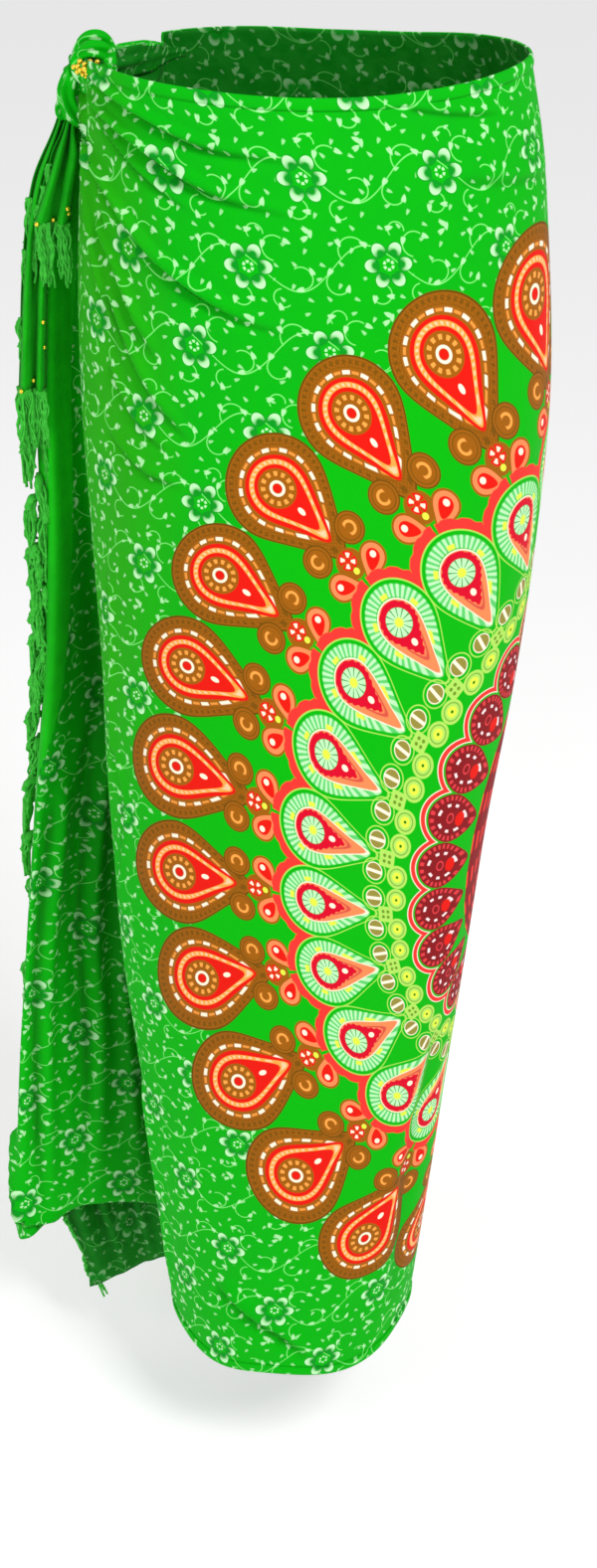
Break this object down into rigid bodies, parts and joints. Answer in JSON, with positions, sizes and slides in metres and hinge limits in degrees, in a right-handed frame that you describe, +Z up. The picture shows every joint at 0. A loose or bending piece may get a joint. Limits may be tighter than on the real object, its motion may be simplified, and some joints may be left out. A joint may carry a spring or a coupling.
{
  "type": "sarong",
  "caption": "Long fringed cloth wrap tied at one hip, hollow as worn, with its loose ends and knotted corners hanging at the side.",
  "frame": {"origin": "middle of the waist opening at the level of its top edge, where the garment is held", "axes": "+Z up, +Y to the wearer's back, +X to the side away from the knot"},
  "size_m": [0.3749, 0.2409, 0.9754],
  "materials": {
    "print_green": "soft matt printed rayon",
    "plain_green": "soft matt plain rayon",
    "fringe_green": "matt twisted thread"
  },
  "bodies": {
    "root": {"wrap_front": "print_green", "wrap_back": "print_green", "end_front": "print_green", "end_back": "print_green", "hem_top_front": "print_green", "hem_top_back": "print_green", "hem_bottom_front": "print_green", "hem_bottom_back": "print_green", "knot": "print_green", "tail_front": "plain_green", "tail_back": "plain_green", "fringe_end_front": "fringe_green", "fringe_end_back": "fringe_green", "fringe_tail_front": "fringe_green", "fringe_tail_back": "fringe_green"}
  },
  "joints": []
}
